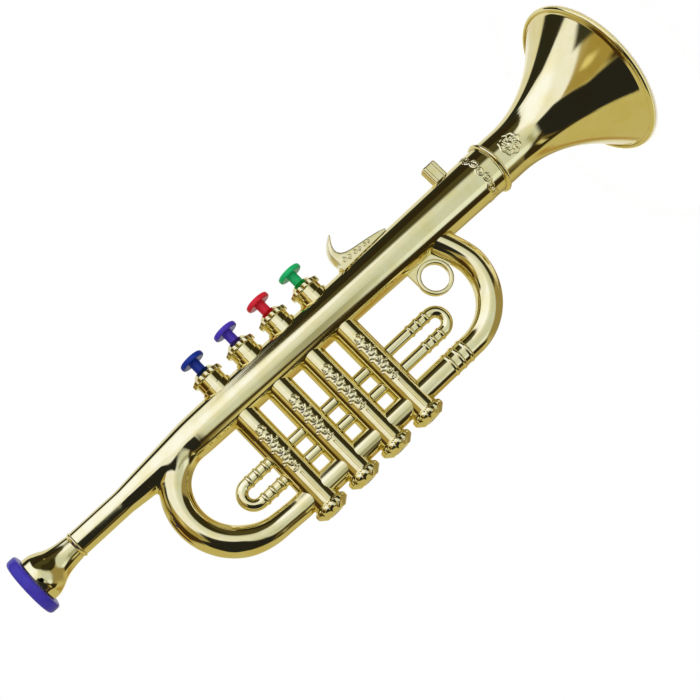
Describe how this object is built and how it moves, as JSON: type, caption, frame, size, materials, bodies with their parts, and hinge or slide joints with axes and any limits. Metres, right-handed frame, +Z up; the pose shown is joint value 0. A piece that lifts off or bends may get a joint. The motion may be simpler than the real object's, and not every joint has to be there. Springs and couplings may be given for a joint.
{
  "type": "toy trumpet",
  "caption": "Metallised plastic toy trumpet with sprung coloured keys, wrapped tubing, finger ring and hook, a flared bell and a purple lip ring.",
  "frame": {"origin": "middle of the toy's floor space, on the plane of the bell's rim, where the toy stands on its bell", "axes": "+Z up the main tube from the bell to the mouthpiece, +X the way the keys point, +Y away from the side that the picture shows"},
  "size_m": [0.1198, 0.092, 0.3879],
  "materials": {
    "gold": "vacuum-metallised gold, mirror bright",
    "purple": "soft gloss",
    "blue_plastic": "gloss",
    "violet_plastic": "gloss",
    "red_plastic": "gloss",
    "green_plastic": "gloss",
    "grey_plastic": "as moulded",
    "spring_steel": "drawn wire",
    "reed_brass": "stamped"
  },
  "bodies": {
    "trumpet": {"mouthpiece": "gold", "lead_pipe": "gold", "left_bend": "gold", "main_tube": "gold", "collar_ring": "gold", "bell": "gold", "right_bend": "gold", "left_slide": "gold", "right_slide": "gold", "finger_ring": "gold", "finger_hook": "gold", "lyre_post": "gold", "lower_tube_1": "gold", "lower_tube_2": "gold", "lower_tube_3": "gold", "upper_link_1": "gold", "upper_link_2": "gold", "upper_link_3": "gold", "lower_link_1": "gold", "lower_link_2": "gold", "lower_link_3": "gold", "valve_casing_1": "gold", "valve_casing_2": "gold", "valve_casing_3": "gold", "valve_casing_4": "gold", "bottom_cap_1": "gold", "bottom_cap_2": "gold", "bottom_cap_3": "gold", "bottom_cap_4": "gold", "top_cap_1": "gold", "top_cap_2": "gold", "top_cap_3": "gold", "top_cap_4": "gold", "lip_ring": "purple", "reed_block": "grey_plastic", "spring_1": "spring_steel", "spring_2": "spring_steel", "spring_3": "spring_steel", "spring_4": "spring_steel", "reed_plate_1": "reed_brass", "reed_plate_2": "reed_brass", "reed_plate_3": "reed_brass", "reed_plate_4": "reed_brass"},
    "blue_valve": {"blue_key": "blue_plastic", "piston_1": "grey_plastic"},
    "violet_valve": {"violet_key": "violet_plastic", "piston_2": "grey_plastic"},
    "red_valve": {"red_key": "red_plastic", "piston_3": "grey_plastic"},
    "green_valve": {"green_key": "green_plastic", "piston_4": "grey_plastic"}
  },
  "joints": [
    {"name": "press_blue", "type": "slide", "parent": "trumpet", "child": "blue_valve", "axis": [-1, 0, 0], "range_m": [0, 0.0035], "stiffness_N_per_m": 250, "deforming": ["spring_1"]},
    {"name": "press_violet", "type": "slide", "parent": "trumpet", "child": "violet_valve", "axis": [-1, 0, 0], "range_m": [0, 0.0035], "stiffness_N_per_m": 250, "deforming": ["spring_2"]},
    {"name": "press_red", "type": "slide", "parent": "trumpet", "child": "red_valve", "axis": [-1, 0, 0], "range_m": [0, 0.0035], "stiffness_N_per_m": 250, "deforming": ["spring_3"]},
    {"name": "press_green", "type": "slide", "parent": "trumpet", "child": "green_valve", "axis": [-1, 0, 0], "range_m": [0, 0.0035], "stiffness_N_per_m": 250, "deforming": ["spring_4"]}
  ]
}
